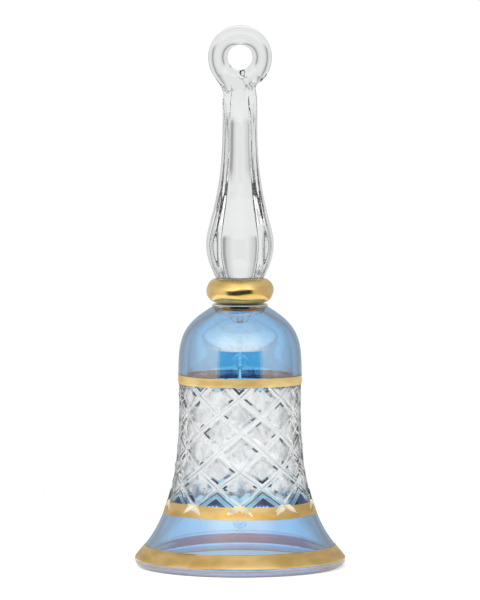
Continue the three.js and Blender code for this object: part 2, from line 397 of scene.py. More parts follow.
def bead_glass():
    """Turquoise glass. Its faint glow stands in for the light that the drop gathers all round."""
    stops = [(0.3, (0.06, 0.80, 0.98)), (0.9, (0.02, 0.55, 0.85))]
    look, shader = clear_glass("bead_glass", stops, ior=1.25)
    set_values(shader, Emission_Color=(0.0, 0.42, 0.62, 1), Emission_Strength=0.25)
    return look


BLUE = blue_glass()
INSIDE, _ = clear_glass("inner_surface", [(0.5, (0.97, 0.98, 0.98)), (1.0, (0.8, 0.85, 0.88))])
# Painted shade: the handle's glass is grey, and darker towards its outline.
CLEAR, _ = clear_glass(
    "clear_glass",
    [(0.05, (0.80, 0.805, 0.81)), (0.6, (0.75, 0.76, 0.78)), (0.95, (0.42, 0.45, 0.5))],
)
PAD = ground_glass("cut_glass", (0.70, 0.72, 0.73), (0.98, 0.98, 0.98), 0.19, 0.5)
# Painted shade: grey glass on some bevels, which draws the relief of the cuts.
SHADED_BEVEL = ground_glass("cut_bevel_painted_shade", (0.42, 0.46, 0.5), (0.75, 0.78, 0.8), 0.08, 0.3)
GROOVE = ground_glass("cut_groove", (0.93, 0.95, 0.95), (1.0, 1.0, 1.0), 0.25, 0.1)
FUSED = fused_joint()
# Painted shade: dark blue glass that stands in for the dark back band seen through the lowest
# triangles.
NAVY_PAINTED_SHADE = ground_glass("navy_painted_shade", (0.003, 0.008, 0.05), (0.008, 0.022, 0.1), 0.03, 0.05)
# Painted shade and painted reflection: near-black glass for dark bevel stretches and the lowest
# triangles' outlines.
PAINTED_DARK_GLASS = ground_glass("painted_shade_and_reflection", (0.004, 0.006, 0.01), (0.02, 0.03, 0.05), 0.1, 0.1)
PALE_STAIN = ground_glass("pale_stain", (0.42, 0.74, 0.92), (0.6, 0.86, 0.98), 0.35, 0.1)
GILT_CUT = gold_lustre("gilt_cut", (0.92, 0.80, 0.50), (1.0, 0.93, 0.72), 0.35, 0.5)
BEAD = bead_glass()
THREAD, _ = clear_glass(
    "glass_thread", [(0.4, (0.99, 0.99, 0.99)), (1.0, (0.9, 0.93, 0.95))], ior=1.12
)
GOLD = gold_lustre("gold_lustre", (0.62, 0.40, 0.13), (0.78, 0.56, 0.23), 0.3, 0.44)
# Painted light: a paler copy of the gold lustre, which makes up for the dark that the upper band
# mirrors.
PAINTED_LIGHT_GOLD = gold_lustre("gold_lustre_painted_light", (0.78, 0.55, 0.22), (0.92, 0.72, 0.34), 0.5, 0.65)
BRIGHT_GOLD = gold_lustre("bright_gold", (0.74, 0.49, 0.15), (0.88, 0.65, 0.26), 0.16, 0.28)
UNDERSIDE = lustre_underside("violet_underside", (0.22, 0.10, 0.85), (0.34, 0.17, 1.0))
DARK_UNDERSIDE = lustre_underside("dark_underside", (0.12, 0.04, 0.26), (0.2, 0.07, 0.38))

BODY_LOOKS = {
    "blue": BLUE, "inside": INSIDE, "groove": GROOVE, "pad": PAD, "bevel": SHADED_BEVEL, "painted_dark": PAINTED_DARK_GLASS,
    "fused": FUSED, "navy_shade": NAVY_PAINTED_SHADE, "pale": PALE_STAIN, "gilt": GILT_CUT,
}
SLOTS = {look: number for number, look in enumerate(BODY_LOOKS)}

# ---- Bell body ---------------------------------------------------------------------------------

glass_lip = LIP_ROLL_RADIUS - COAT
lip_middle = (MOUTH_RADIUS - LIP_ROLL_RADIUS, LIP_ROLL_RADIUS)


def lip_point(angle, roll=glass_lip):
    return (lip_middle[0] + roll * math.cos(angle), lip_middle[1] + roll * math.sin(angle))


def flare_curve():
    """The CAD flare, from the rolled lip up to the waist."""
    start = lip_point(FLARE_LEAVES_LIP, LIP_ROLL_RADIUS)
    lean = FLARE_LEAVES_LIP
    low_pull = (start[0] - FLARE_PULL_LOW * math.sin(lean), start[1] + FLARE_PULL_LOW * math.cos(lean))
    high_pull = (WAIST_RADIUS, WAIST_HEIGHT - FLARE_PULL_HIGH)
    return cubic(start, low_pull, high_pull, (WAIST_RADIUS, WAIST_HEIGHT), 400)


def dome_curve():
    end_pull = (
        NECK_RADIUS + DOME_PULL_HIGH * math.cos(DOME_END_SLOPE),
        NECK_HEIGHT - DOME_PULL_HIGH * math.sin(DOME_END_SLOPE),
    )
    return cubic(
        (WAIST_RADIUS, DOME_START), (WAIST_RADIUS, DOME_START + DOME_PULL_LOW),
        end_pull, (NECK_RADIUS, NECK_HEIGHT), 400,
    )


cad_side = np.concatenate([flare_curve(), dome_curve()])
glass_side = inside_of(cad_side, COAT)
cavity_side = inside_of(cad_side, WALL)


def side_radius(height):
    return np.interp(height, glass_side[:, 1], glass_side[:, 0])


def side_normal(angle, height):
    """The outward normal of the glass at an azimuth and a height."""
    slope = (side_radius(height + 0.2) - side_radius(height - 0.2)) / 0.4
    length = math.hypot(1, slope)
    return np.array([math.cos(angle) / length, math.sin(angle) / length, -slope / length])


def side_point(angle, height):
    radius = side_radius(height)
    return np.array([radius * math.cos(angle), radius * math.sin(angle), height])


class Lattice:
    """Hand-cut grooves on the waist. u and v count the grooves that lean one way and the other,
    so u - v goes round the bell and u + v is the row."""

    def __init__(self):
        self.rows = len(LATTICE_LEVELS) - 1
        self.turn = 2 * math.pi / DIAMONDS
        self.shift = [
            [rng.uniform(-GROOVE_ERROR, GROOVE_ERROR) for _ in range(DIAMONDS)] for _ in range(2)
        ]
        self.depth = [[rng.uniform(*GROOVE_DEPTHS) for _ in range(DIAMONDS)] for _ in range(2)]
        self.tilt = {}
        self.looks = {}

    def moved(self, value, family, taper):
        """A groove coordinate with that groove's own error of place."""
        line = math.floor(value)
        part = value - line
        errors = self.shift[family]
        return value + taper * (
            (1 - part) * errors[line % DIAMONDS] + part * errors[(line + 1) % DIAMONDS]
        )

    def place(self, u, v):
        row = u + v - LOWEST_ROW
        taper = smoothstep(0, 1, row) * smoothstep(0, 1, self.rows - row)
        u, v = self.moved(u, 0, taper), self.moved(v, 1, taper)
        height = self.level(u + v - LOWEST_ROW)
        return FRONT + self.turn * (u - v) / 2, height

    def level(self, row):
        """The height of a row, on a smooth curve through the levels."""
        levels = LATTICE_LEVELS
        i = min(max(int(math.floor(row)), 0), self.rows - 1)
        t = row - i
        p1, p2 = levels[i], levels[i + 1]
        p0 = levels[i - 1] if i > 0 else 2 * p1 - p2
        p3 = levels[i + 2] if i + 2 <= self.rows else 2 * p2 - p1
        return p1 + 0.5 * t * (
            p2 - p0 + t * (2 * p0 - 5 * p1 + 4 * p2 - p3 + t * (3 * (p1 - p2) + p3 - p0))
        )

    def fade(self, height):
        """1 where a groove has its full depth, and 0 where the wheel has left the glass."""
        low = LOWER_BAND[1] - OVERRUN_LOW
        high = UPPER_BAND[0] + OVERRUN_HIGH
        below = smoothstep(low, low + RUN_OUT_LOW, height)
        return float(below * smoothstep(high, high - RUN_OUT_HIGH, height))

    def groove(self, share, family, line, fade):
        depth = GROOVE_DEPTH * self.depth[family][line % DIAMONDS]
        return depth * max(0.0, fade - share / GROOVE_HALF)

    def facet(self, i, j):
        """The plane of a diamond's inner facet: its middle and its normal."""
        key = (i % DIAMONDS, j % DIAMONDS, i + j)
        if key not in self.tilt:
            self.tilt[key] = [rng.uniform(-FACET_TILT, FACET_TILT) for _ in range(2)]
        angle, height = self.place(i + 0.5, j + 0.5)
        normal = side_normal(angle, height)
        round_way = np.array([-math.sin(angle), math.cos(angle), 0])
        lean, nod = self.tilt[key]
        normal = normal + lean * round_way + nod * np.cross(normal, round_way)
        return side_point(angle, height), normal / np.linalg.norm(normal)

    def point(self, u, v):
        """The cut surface at u, v, and how deep the groove there is."""
        angle, height = self.place(u, v)
        surface, normal = side_point(angle, height), side_normal(angle, height)
        i, j = math.floor(u + 1e-9), math.floor(v + 1e-9)
        a, b = u - i, v - j
        near_u, near_v = min(a, 1 - a), min(b, 1 - b)
        fade = self.fade(height)
        groove = max(
            self.groove(near_u, 0, i + (a > 0.5), fade),
            self.groove(near_v, 1, j + (b > 0.5), fade),
        )
        inner = min(near_u, near_v)
        cut = CUT_ROWS[0] <= i + j + 1 <= CUT_ROWS[1]
        if not cut or inner < GROOVE_HALF:
            base = LEDGE_DEPTH * fade if self.touches_cut(u, v) else 0.0
            return surface - normal * max(groove, base), groove
        middle, facing = self.facet(i, j)
        drop = max(PAD_DEPTH + float(np.dot(surface - middle, facing)), PAD_LEAST_DEPTH)
        drop *= float(smoothstep(UPPER_BAND[0], UPPER_BAND[0] - PAD_RUN_OUT, height))
        blend = float(np.clip((inner - GROOVE_HALF) / (PAD_EDGE - GROOVE_HALF), 0, 1))
        flat = surface - facing * drop
        edge = surface - normal * LEDGE_DEPTH * fade
        return edge * (1 - blend) + flat * blend, groove

    def touches_cut(self, u, v):
        return CUT_ROWS[0] - 0.5 <= u + v <= CUT_ROWS[1] + 0.5

    def look(self, p, q, height, deep):
        """What the mesh face at steps p, q is made of."""
        row = p // CELL + q // CELL + 1
        if deep > GROOVE_SEEN:
            return "gilt" if height < LOWER_BAND[1] + 0.2 else "groove"
        if row == 0 and height > LOWER_BAND[1] - 0.3:
            return self.triangle_look(p, q)
        if not CUT_ROWS[0] <= row <= CUT_ROWS[1] or height > UPPER_BAND[0] + 0.5:
            return "blue"
        return self.facet_look(p, q)

    def triangle_look(self, p, q):
        """Deep blue inside, a paler chevron round it, and a dark outline along the grooves. The deep
        blue inside and the dark outline are painted shade, which stands in for the dark back band seen
        through the glass and for the dark edges of the cut.
        """
        edge = max(p % CELL, q % CELL)
        if edge < CELL - NAVY_STEPS:
            return "navy_shade"
        return "pale" if edge < CELL - OUTLINE_STEPS else "painted_dark"

    def facet_look(self, p, q):
        """A diamond has a clear inner facet, and between it and each groove a bevel that may be
            painted grey as shade. A short stretch of a bevel, beside a crossing, may be painted near
            black, as a painted reflection of something dark."""
        a, b = p % CELL, q % CELL
        upper_a, upper_b = a > CELL // 2, b > CELL // 2
        a, b = min(a, CELL - 1 - a), min(b, CELL - 1 - b)
        if min(a, b) > BEVEL_STEPS:
            return "pad"
        along_u = b < a
        side = upper_b if along_u else upper_a
        grey, dark, length, far = self.bevel(p // CELL % DIAMONDS, q // CELL % DIAMONDS, along_u, side)
        across, along = (b, a) if along_u else (a, b)
        at_far_end = upper_a if along_u else upper_b
        if dark and across < BEVEL_STEPS and along <= length and at_far_end == far:
            return "painted_dark"
        return "bevel" if grey else "pad"

    def bevel(self, *key):
        """Whether a bevel is painted grey as shade, whether part of it is painted dark as a
        reflection, how much, and at which end.
        """
        if key not in self.looks:
            grey = rng.random() < GREY_SHARE
            dark = rng.random() < DARK_SHARE
            self.looks[key] = grey, dark, rng.choice(DARK_STEPS), rng.random() < 0.5
        return self.looks[key]


def lattice_step(index):
    """The groove coordinate of a mesh step."""
    cell, step = divmod(index, CELL)
    return cell + STEPS[step]


class Shell:
    """The body's mesh while it is built, from rings of points that share their columns."""

    def __init__(self):
        self.points = []
        self.faces = []
        self.slots = []

    def ring(self, radius, height, angles):
        first = len(self.points)
        self.points.extend((radius * math.cos(a), radius * math.sin(a), height) for a in angles)
        return range(first, first + AROUND)

    def face(self, corners, look):
        self.faces.append(corners)
        self.slots.append(SLOTS[look])

    def skin(self, low, high, look):
        for k in range(AROUND):
            n = (k + 1) % AROUND
            self.face([low[k], low[n], high[n], high[k]], look)

    def cap(self, ring, height, look, facing_up):
        middle = len(self.points)
        self.points.append((0, 0, height))
        for k in range(AROUND):
            n = (k + 1) % AROUND
            pair = [ring[k], ring[n]] if facing_up else [ring[n], ring[k]]
            self.face([*pair, middle], look)


def columns(lattice, row):
    """The azimuths of the mesh columns that meet the lattice at a row."""
    return [lattice.place(lattice_step(k), row - lattice_step(k))[0] for k in range(AROUND)]


def inside_lip_and_flare(shell, angles):
    """From the ceiling down the inside, round the lip and up the flare, whose last ring it returns."""
    cavity = cavity_side[::-1]
    inside = [
        *between_heights(cavity, WAIST_HEIGHT, np.inf, 26),
        *between_heights(cavity, LIP_INNER_TOP, WAIST_HEIGHT, 34),
        lip_point(math.pi - 0.28),
    ]
    outside = [
        *(lip_point(math.radians(a)) for a in range(180, 255, 15)),
        (lip_middle[0] - LIP_FLAT_HALF, RIM_REST),
        (lip_middle[0] + LIP_FLAT_HALF, RIM_REST),
        *(lip_point(math.radians(a)) for a in range(-60, 40, 10)),
        *between_heights(glass_side, LIP_OUTER_TOP, LATTICE_LEVELS[0] - JOIN_GAP, 20),
    ]
    rings = [shell.ring(radius, height, angles) for radius, height in inside + outside]
    for number, (low, high) in enumerate(zip(rings, rings[1:])):
        shell.skin(low, high, "inside" if number < len(inside) else "blue")
    shell.cap(rings[0], cavity_side[-1][1] + CEILING_RISE, "inside", False)
    return rings[-1]


def cut_waist(shell, lattice, below):
    """The lattice on top of the ring below. It returns its own last ring."""
    lowest = LOWEST_ROW * CELL
    highest = lowest + lattice.rows * CELL
    first = len(shell.points)
    depths = []
    for level in range(lowest, highest + 1):
        for k in range(AROUND):
            point, groove = lattice.point(lattice_step(k), lattice_step(level - k))
            shell.points.append(tuple(point))
            depths.append(groove)

    def vertex(p, q):
        return first + (p + q - lowest) * AROUND + p % AROUND

    shell.skin(below, [vertex(k, lowest - k) for k in range(AROUND)], "blue")
    for level in range(lowest - 1, highest):
        for p in range(AROUND):
            q = level - p
            corners = [(p, q), (p + 1, q), (p + 1, q + 1), (p, q + 1)]
            kept = [vertex(*corner) for corner in corners if lowest <= sum(corner) <= highest]
            if len(kept) > 2:
                deep = sum(depths[corner - first] for corner in kept) / len(kept)
                shell.face(kept, lattice.look(p, q, shell.points[kept[0]][2], deep))
    return [vertex(k, highest - k) for k in range(AROUND)]


def dome_and_neck(shell, below, angles):
    """From the lattice up the dome, the neck and the stub."""
    side = between_heights(glass_side, LATTICE_LEVELS[-1] + JOIN_GAP, np.inf, 34)
    rings = [shell.ring(radius, height, angles) for radius, height in side]
    shell.skin(below, rings[0], "blue")
    blue_skins = len(rings)
    neck = NECK_RADIUS - COAT
    neck_top = collar_low.z - SEAT_GAP
    for radius, height in (
        (neck, neck_top - 0.25), (neck - 0.2, neck_top - 0.05),
        (STUB_RADIUS, neck_top), (STUB_RADIUS, body_high.z),
    ):
        rings.append(shell.ring(radius, height, angles))
    for number, (low, high) in enumerate(zip(rings, rings[1:])):
        shell.skin(low, high, "blue" if number < blue_skins else "fused")
    shell.cap(rings[-1], body_high.z, "fused", True)


def bell_glass():
    lattice = Lattice()
    shell = Shell()
    flare_top = inside_lip_and_flare(shell, columns(lattice, LOWEST_ROW))
    waist_top = cut_waist(shell, lattice, flare_top)
    dome_and_neck(shell, waist_top, columns(lattice, LOWEST_ROW + lattice.rows))
    looks = list(BODY_LOOKS.values())
    piece = mesh_object("bell_glass", shell.points, shell.faces, looks, shell.slots)
    piece.data.set_sharp_from_angle(angle=math.radians(14))
    return piece


# ---- Gold bands --------------------------------------------------------------------------------

GOLD_OUTSIDE = COAT - 0.01           # how far the gold's two faces stand off the glass
GOLD_INSIDE = 0.015


def hand_drift(wobble):
    """A function that says how far a hand-painted edge strays at a vertex, in metres."""
    phase = [rng.uniform(0, 2 * math.pi) for _ in range(4)]

    def drift(vertex):
        angle = math.atan2(vertex.co.y, vertex.co.x)
        waves = (
            0.5 * math.sin(angle + phase[0]) + 0.3 * math.sin(3 * angle + phase[1])
            + 0.2 * math.sin(7 * angle + phase[2])
        )
        return wobble * waves * MM

    return drift


def cut_off(shape, height, side):
    """Removes what lies above a height (side 1) or below it (side -1)."""
    bmesh.ops.bisect_plane(
        shape, geom=shape.verts[:] + shape.edges[:] + shape.faces[:], dist=1e-9,
        plane_co=(0, 0, height * MM), plane_no=(0, 0, side), clear_outer=True,
    )


def faces_inwards(face):
    middle = face.calc_center_median()
    return face.normal.x * middle.x + face.normal.y * middle.y < 0


def thickened(shape):
    """Turns an open skin into a thin closed one: gold outside, its underside towards the glass."""
    shape.normal_update()
    skin = shape.verts[:]
    outer = {v: v.co + v.normal * GOLD_OUTSIDE * MM for v in skin}
    inside = {v: shape.verts.new(v.co + v.normal * GOLD_INSIDE * MM) for v in skin}
    edges = [edge for edge in shape.edges if edge.is_boundary]
    for face in shape.faces[:]:
        face.material_index = 0
        back = shape.faces.new([inside[v] for v in reversed(face.verts)])
        back.material_index = 1
        back.smooth = True
    for edge in edges:
        loop = edge.link_loops[0]
        a, b = loop.vert, loop.link_loop_next.vert
        wall = shape.faces.new([b, a, inside[a], inside[b]])
        wall.material_index = 0
    for vertex, place in outer.items():
        vertex.co = place


def gold_band(name, source, band, wobble, looks, left_out):
    """Gold on the glass between two heights, with hand-painted edges. It leaves out the glass of
    some looks, so the cuts nick into the lower band."""
    drift = hand_drift(wobble)
    shape = bmesh.new()
    shape.from_mesh(source.data)
    for vertex in shape.verts:
        vertex.co.z -= drift(vertex)
    cut_off(shape, band[1], 1)
    cut_off(shape, band[0], -1)
    bare_slots = [SLOTS[look] for look in left_out]
    bare = [f for f in shape.faces if f.material_index in bare_slots or faces_inwards(f)]
    bmesh.ops.delete(shape, geom=bare, context="FACES")
    for vertex in shape.verts:
        vertex.co.z += drift(vertex)
    thickened(shape)
    piece = from_bmesh(name, shape)
    for look in looks:
        piece.data.materials.append(look)
    return piece


glass = bell_glass()
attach(glass, "bell")
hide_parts("bell_body")

for band_name, band, wobble, looks, left_out in (
    ("gold_band_rim", RIM_BAND, 0.12, (GOLD, UNDERSIDE), ("inside",)),
    ("gold_band_lower", LOWER_BAND, 0.22, (GOLD, DARK_UNDERSIDE), ("inside", "gilt")),
    ("gold_band_upper", UPPER_BAND, 0.16, (PAINTED_LIGHT_GOLD, DARK_UNDERSIDE), ("inside",)),
):
    gold = gold_band(band_name, glass, band, wobble, looks, left_out)
    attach(gold, "bell")

# ---- Collar ------------------------------------------------------------------------------------


def collar():
    half = (collar_high.z - collar_low.z) / 2
    middle = (collar_high.z + collar_low.z) / 2
    crown = collar_high.x - half
    bore = STUB_RADIUS + SEAT_GAP
    outline = [(bore, middle - half), *(
        (crown + half * math.cos(a), middle + half * math.sin(a))
        for a in np.linspace(-math.pi / 2, math.pi / 2, 40)
    ), (bore, middle + half)]

    def lumps(angle, height):
        swell = 0.12 * math.sin(2 * angle + 0.8) + 0.07 * math.sin(5 * angle + height)
        return (swell - 0.19) * float(smoothstep(0, 2, half - abs(height - middle)))

    piece = turned("gilt_collar", outline, 120, [BRIGHT_GOLD], closed=True, lumps=lumps)
    piece.data.set_sharp_from_angle(angle=math.radians(40))
    return piece


neck_ring = collar()
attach(neck_ring, "bell")
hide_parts("neck_collar")

# ---- Handle and loop ---------------------------------------------------------------------------

FLUTES = 6
FLUTE_DEPTH = 1.15
CREASE_SOFTNESS = 0.07
STREAKS = 13                         # the faint ridges that drawing the glass has left
STREAK_HEIGHT = 0.05
SHAFT_FLATTENING = 0.42              # how much thinner the shaft gets from front to back
SHAFT_PINCH = 0.5                    # how much its radius shrinks under the loop
SEAM_WAVES = 0.16                    # the depth of the wrinkles where the loop is fused on
HANDLE_VOXEL = 0.32
BULB_RADIUS = 9.0
BULB_RISE = 8.2
FOOT_RADIUS = 6.5
SHAFT_RADIUS = 4.6
SHAFT_RISE = 38.0
LOOP_BEND = 5.55                     # the radius that the loop's rod is bent to
ROD_RADIUS = (loop_high.x - loop_low.x) / 2 - LOOP_BEND
loop_middle = loop_high.z - ROD_RADIUS - LOOP_BEND


def handle_profile():
    foot_z = handle_low.z
    swelling = cubic(
        (FOOT_RADIUS, 0), (FOOT_RADIUS + 0.8, 0.2 * BULB_RISE), (BULB_RADIUS, 0.55 * BULB_RISE),
        (BULB_RADIUS, BULB_RISE), 60,
    )
    span = SHAFT_RISE - BULB_RISE
    tapering = cubic(
        (BULB_RADIUS, BULB_RISE), (BULB_RADIUS, BULB_RISE + 0.16 * span),
        (SHAFT_RADIUS, BULB_RISE + 0.36 * span), (SHAFT_RADIUS, SHAFT_RISE), 120,
    )
    curve = np.concatenate([swelling, tapering[1:], [(SHAFT_RADIUS, SHAFT_RISE + 30)]])
    return curve[:, 1] + foot_z, curve[:, 0]


profile_z, profile_r = handle_profile()


def handle_field(p):
    """Below 0 inside the handle and its loop: a fluted shaft whose end is bent round and fused."""
    x, y, z = p[:, 0], p[:, 1], p[:, 2]
    top = loop_middle - LOOP_BEND
    flat = 1 - SHAFT_FLATTENING * smoothstep(top - 13, top - 1, z)
    deep = y / flat
    reach = np.hypot(x, deep)
    angle = np.arctan2(deep, x)
    radius = np.interp(z, profile_z, profile_r) - SHAFT_PINCH * smoothstep(top - 6, top - 1, z)
    wave = np.abs(np.cos(FLUTES * (angle - FRONT) / 2))
    petal = 1 - np.sqrt(wave ** 2 + CREASE_SOFTNESS)
    streaks = STREAK_HEIGHT * np.cos(STREAKS * angle + 1.0)
    depth = FLUTE_DEPTH * radius / BULB_RADIUS
    shaft = (reach - (radius - depth * petal + streaks)) * 0.8 * flat
    shaft = np.maximum(shaft, handle_low.z - z)
    shaft = np.maximum(shaft, (z - top - 0.4 + 0.5 * np.sin(1.1 * x + 0.6)) * 0.8)
    ring_reach = np.hypot(x, z - loop_middle) - LOOP_BEND
    ring = np.hypot(ring_reach, y) - ROD_RADIUS
    soft = 0.5 + 1.6 * smoothstep(1.0, -4.0, x)
    mix = np.clip(0.5 + 0.5 * (ring - shaft) / soft, 0, 1)
    both = ring * (1 - mix) + shaft * mix - soft * mix * (1 - mix)
    seam = np.exp(-((z - top + 1.2 - 0.25 * x) / 1.3) ** 2)
    return both + SEAM_WAVES * seam * np.sin(2.3 * x + 1.2 * z) * np.cos(1.7 * y + 0.8 * x)


def field_slope(p, step=0.01):
    slope = np.zeros_like(p)
    for axis in range(3):
        move = np.zeros(3)
        move[axis] = step
        slope[:, axis] = (handle_field(p + move) - handle_field(p - move)) / (2 * step)
    return slope


def stitched(shape, rings, closed):
    """Faces between rings of vertices, and from the last to the first of a closed row of rings."""
    pairs = list(zip(rings, rings[1:]))
    if closed:
        pairs.append((rings[-1], rings[0]))
    for low, high in pairs:
        for k in range(len(low)):
            n = (k + 1) % len(low)
            shape.faces.new([low[k], low[n], high[n], high[k]])


def rough_shaft(shape):
    rings = []
    for height in np.linspace(handle_low.z - 0.4, loop_middle - LOOP_BEND + 1.0, 60):
        radius = float(np.interp(height, profile_z, profile_r)) + 0.3
        rings.append([
            shape.verts.new((radius * math.cos(a) * MM, radius * math.sin(a) * MM, height * MM))
            for a in np.linspace(0, 2 * math.pi, 40, endpoint=False)
        ])
    stitched(shape, rings, False)
    shape.faces.new(list(reversed(rings[0])))
    shape.faces.new(rings[-1])


def rough_loop(shape):
    rod = ROD_RADIUS + 0.2
    rings = []
    for bend in np.linspace(0, 2 * math.pi, 64, endpoint=False):
        rings.append([])
        for turn in np.linspace(0, 2 * math.pi, 24, endpoint=False):
            reach = LOOP_BEND + rod * math.cos(turn)
            rings[-1].append(shape.verts.new((
                reach * math.cos(bend) * MM, rod * math.sin(turn) * MM,
                (loop_middle + reach * math.sin(bend)) * MM,
            )))
    stitched(shape, rings, True)


def voxelised(piece):
    """The piece's mesh, remade by a voxel remesh."""
    voxels = piece.modifiers.new("voxels", "REMESH")
    voxels.mode = "VOXEL"
    voxels.voxel_size = HANDLE_VOXEL * MM
    bpy.context.view_layer.update()
    evaluated = piece.evaluated_get(bpy.context.evaluated_depsgraph_get())
    mesh = bpy.data.meshes.new_from_object(evaluated)
    piece.modifiers.clear()
    return mesh


def drawn_onto_field(mesh):
    """Moves the vertices onto the handle's exact surface, and takes their normals from it."""
    points = np.empty(len(mesh.vertices) * 3)
    mesh.vertices.foreach_get("co", points)
    points = points.reshape(-1, 3) / MM
    for _ in range(12):
        slope = field_slope(points)
        square = np.maximum((slope ** 2).sum(1), 0.05)
        points -= np.clip(handle_field(points) / square, -0.4, 0.4)[:, None] * slope
    mesh.vertices.foreach_set("co", (points * MM).ravel())
    facing = field_slope(points)
    facing /= np.linalg.norm(facing, axis=1)[:, None]
    mesh.polygons.foreach_set("use_smooth", [True] * len(mesh.polygons))
    mesh.update()
    mesh.normals_split_custom_set_from_vertices([tuple(way) for way in facing])


def handle_and_loop():
    """Voxels of the rough shape, drawn onto the exact surface."""
    rough = bmesh.new()
    rough_shaft(rough)
    rough_loop(rough)
    bmesh.ops.recalc_face_normals(rough, faces=rough.faces[:])
    piece = from_bmesh("handle_and_loop", rough)
    piece.data = voxelised(piece)
    piece.data.materials.clear()
    piece.data.materials.append(CLEAR)
    drawn_onto_field(piece.data)
    return piece


handle = handle_and_loop()
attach(handle, "bell")
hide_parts("fluted_handle", "hanging_loop")

# ---- Clapper -----------------------------------------------------------------------------------

hanger_low, hanger_high = box_mm("clapper_hanger")
THREAD_RADIUS = hanger_high.y
EYE_RADIUS = hanger_high.x - THREAD_RADIUS
STEM_FOOT_RADIUS = 0.95
STEM_FOOT_HALF = 0.29                # half the height of the stem's melted foot
DROP_BORE = THREAD_RADIUS + SEAT_GAP
DROP_LIP = 0.12                      # the height of the fused edge round the drop's bore


def swept(path, across, radius, closed, sides=20):
    """A round thread along a flat path. across is the direction square to the path's plane."""
    path, across = np.asarray(path, float), np.asarray(across, float)
    if closed:
        along = np.roll(path, -1, axis=0) - np.roll(path, 1, axis=0)
    else:
        along = np.gradient(path, axis=0)
    along /= np.linalg.norm(along, axis=1)[:, None]
    turns = np.linspace(0, 2 * math.pi, sides, endpoint=False)
    points = [
        middle + radius * (math.cos(t) * across + math.sin(t) * np.cross(way, across))
        for middle, way in zip(path, along) for t in turns
    ]
    count = len(path)
    faces = [
        [i * sides + k, i * sides + (k + 1) % sides,
         (i + 1) % count * sides + (k + 1) % sides, (i + 1) % count * sides + k]
        for i in range(count if closed else count - 1) for k in range(sides)
    ]
    if not closed:
        faces.append(list(reversed(range(sides))))
        faces.append(list(range((count - 1) * sides, count * sides)))
    return points, faces


def merged(name, parts, materials):
    points, faces = [], []
    for part_points, part_faces in parts:
        first = len(points)
        points.extend(part_points)
        faces.extend([first + corner for corner in face] for face in part_faces)
    return mesh_object(name, points, faces, materials)


def stand_in(piece, node, body):
    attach(piece, body)
    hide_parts(node)


def eye(middle):
    """The ring of thread that the pieces of the clapper hang by, round the Y axis."""
    bends = np.linspace(0, 2 * math.pi, 48, endpoint=False)
    path = [(EYE_RADIUS * math.sin(b), 0, middle + EYE_RADIUS * math.cos(b)) for b in bends]
    return swept(path, (0, 1, 0), THREAD_RADIUS, True)


def upright(low, high):
    path = [(0, 0, z) for z in np.linspace(low, high, 6)]
    return swept(path, (0, 1, 0), THREAD_RADIUS, False)


def thread_hanger():
    middle = hanger_low.z + hanger_high.x
    rod = upright(middle + EYE_RADIUS, hanger_high.z)
    piece = merged("thread_hanger", [eye(middle), rod], [THREAD])
    stand_in(piece, "clapper_hanger", "bell")


def thread_link():
    low, high = box_mm("clapper_link")
    reach = high.y - THREAD_RADIUS
    upper = high.z - THREAD_RADIUS - reach
    lower = low.z + THREAD_RADIUS + reach
    bends = np.linspace(0, math.pi, 24)
    path = [(0, reach * math.cos(b), upper + reach * math.sin(b)) for b in bends]
    path += [(0, -reach * math.cos(b), lower - reach * math.sin(b)) for b in bends]
    piece = merged("thread_link", [swept(path, (1, 0, 0), THREAD_RADIUS, True)], [THREAD])
    stand_in(piece, "clapper_link", "link")


def thread_stem():
    low, high = box_mm("clapper_stem")
    middle = high.z - THREAD_RADIUS - EYE_RADIUS
    rod = upright(low.z + 0.1, middle - EYE_RADIUS)
    piece = merged("thread_stem", [eye(middle), rod], [THREAD])
    stand_in(piece, "clapper_stem", "clapper")


def melted_foot():
    """The flat bead that the stem's end was melted to, so that the drop can't slide off."""
    low, _ = box_mm("clapper_stem")
    bore = 0.05
    reach = STEM_FOOT_RADIUS - 0.02 - bore
    middle = low.z + STEM_FOOT_HALF + 0.02
    outline = [
        (bore + reach * math.cos(a), middle + STEM_FOOT_HALF * math.sin(a))
        for a in np.linspace(-math.pi / 2, math.pi / 2, 14)
    ]
    piece = turned("melted_foot", outline, 40, [THREAD], closed=True)
    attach(piece, "clapper")


def drop():
    low, high = box_mm("clapper_bead")
    half = (high.z - low.z) / 2
    start = math.asin(min(1, (DROP_BORE + 0.25) / high.x))
    outline = [
        (DROP_BORE, low.z + DROP_LIP),
        *(
            (high.x * math.sin(a), low.z + half - half * math.cos(a))
            for a in np.linspace(start, math.pi - start, 30)
        ),
        (DROP_BORE, high.z - DROP_LIP),
    ]
    piece = turned("drop", outline, 64, [BEAD], closed=True)
    stand_in(piece, "clapper_bead", "clapper")


def hanger_root():
    low, high = box_mm("hanger_boss")
    deep = high.z - 0.35 - low.z
    start = math.asin(DROP_BORE / high.x)
    outline = [
        *(
            (high.x * math.sin(a), low.z + deep - deep * math.cos(a))
            for a in np.linspace(start, math.pi / 2, 24)
        ),
        (DROP_BORE, high.z - 0.05),
    ]
    piece = turned("hanger_root", outline, 64, [THREAD], closed=True)
    stand_in(piece, "hanger_boss", "bell")


thread_hanger()
thread_link()
thread_stem()
melted_foot()
drop()
hanger_root()

# ---- Floor, light and camera -------------------------------------------------------------------


FLOOR_RADIUS = 0.13

# The tent, in degrees: azimuths from the front and elevations. Each pair is where a soft edge
# starts and where it ends.
OPENING_SIDE = (39, 37.5)
OPENING_TOP = (14.5, 13.5)
POST_INNER = (37, 38.5)
POST_OUTER = (44, 42.5)
POST_TOP = (30, 12)
LINTEL_FOOT = (13.5, 14.5)
LINTEL_TOP = (75, 18)
LINTEL_SIDE = (70, 26)
BACK_WALL = (60, 110)

